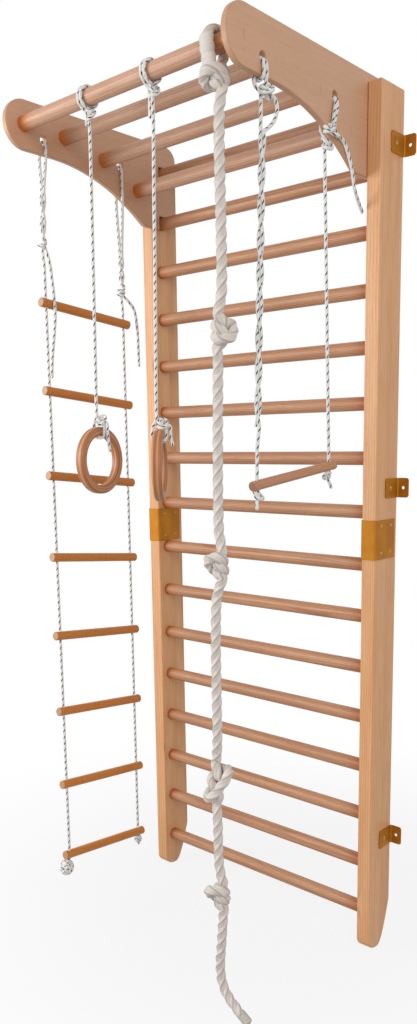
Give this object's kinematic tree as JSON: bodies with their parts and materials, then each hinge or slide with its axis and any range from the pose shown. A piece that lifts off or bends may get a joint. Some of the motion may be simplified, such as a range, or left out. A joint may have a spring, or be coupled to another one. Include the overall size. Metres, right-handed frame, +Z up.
{
  "type": "swedish wall bars",
  "caption": "Wall-hung wooden climbing ladder between two posts, with a top frame that carries swinging rings, a knotted climbing rope, a rope ladder and a trapeze.",
  "frame": {"origin": "middle of the width, on the wall plane behind the posts, at the height of the posts' feet", "axes": "+X to the right as seen from the room, +Y into the wall, +Z up"},
  "size_m": [0.8666, 0.6452, 2.222],
  "materials": {
    "pine": "clear satin lacquer",
    "plywood": "clear satin lacquer, edges rounded over",
    "beech": "clear satin lacquer",
    "ring_wood": "clear satin lacquer",
    "plated_steel": "yellow zinc plating",
    "braided_cord": "white braid with black flecks",
    "cotton_rope": "off-white laid cotton"
  },
  "bodies": {
    "frame": {"post_left_lower": "pine", "post_left_upper": "pine", "post_right_lower": "pine", "post_right_upper": "pine", "rung_01": "pine", "rung_02": "pine", "rung_03": "pine", "rung_04": "pine", "rung_05": "pine", "rung_06": "pine", "rung_07": "pine", "rung_08": "pine", "rung_09": "pine", "rung_10": "pine", "rung_11": "pine", "rung_12": "pine", "rung_13": "pine", "rung_14": "pine", "rung_15": "pine", "rung_16": "pine", "panel_left": "plywood", "panel_right": "plywood", "top_bar_front": "pine", "top_bar_second": "pine", "top_bar_third": "pine", "top_bar_rear": "pine", "sleeve_left": "plated_steel", "sleeve_right": "plated_steel", "bracket_left_upper": "plated_steel", "bracket_left_middle": "plated_steel", "bracket_left_lower": "plated_steel", "bracket_right_upper": "plated_steel", "bracket_right_middle": "plated_steel", "bracket_right_lower": "plated_steel", "ladder_loop_front": "braided_cord", "ladder_loop_rear": "braided_cord", "trapeze_loop_front": "braided_cord", "trapeze_loop_rear": "braided_cord"},
    "ring_left": {"ring_left": "ring_wood", "ring_left_cord": "braided_cord"},
    "ring_right": {"ring_right": "ring_wood", "ring_right_cord": "braided_cord"},
    "climbing_rope": {"climbing_rope": "cotton_rope", "climbing_rope_eye": "cotton_rope", "climbing_rope_whipping": "cotton_rope"},
    "rope_ladder": {"ladder_rung_1": "beech", "ladder_rung_2": "beech", "ladder_rung_3": "beech", "ladder_rung_4": "beech", "ladder_rung_5": "beech", "ladder_rung_6": "beech", "ladder_rung_7": "beech", "ladder_rung_8": "beech", "ladder_cord_front": "braided_cord", "ladder_cord_rear": "braided_cord"},
    "trapeze": {"trapeze_bar": "beech", "trapeze_cord_front": "braided_cord", "trapeze_cord_rear": "braided_cord"}
  },
  "joints": [
    {"name": "ring_left_swing", "type": "hinge", "parent": "frame", "child": "ring_left", "pos_m": [-0.103, -0.5645, 2.1625], "axis": [-1, 0, 0], "range_deg": [-25, 60]},
    {"name": "ring_right_swing", "type": "hinge", "parent": "frame", "child": "ring_right", "pos_m": [0.103, -0.5645, 2.1625], "axis": [-1, 0, 0], "range_deg": [-25, 60]},
    {"name": "climbing_rope_swing", "type": "hinge", "parent": "frame", "child": "climbing_rope", "pos_m": [0.288, -0.5645, 2.1625], "axis": [-1, 0, 0], "range_deg": [-12, 45]},
    {"name": "rope_ladder_swing", "type": "hinge", "parent": "frame", "child": "rope_ladder", "pos_m": [-0.3519, -0.512, 1.89], "axis": [0, 0.958, -0.2867], "range_deg": [-15, 45]},
    {"name": "trapeze_swing", "type": "hinge", "parent": "frame", "child": "trapeze", "pos_m": [0.3519, -0.494, 2.06], "axis": [0, -0.9873, 0.1587], "range_deg": [-3, 45]}
  ]
}
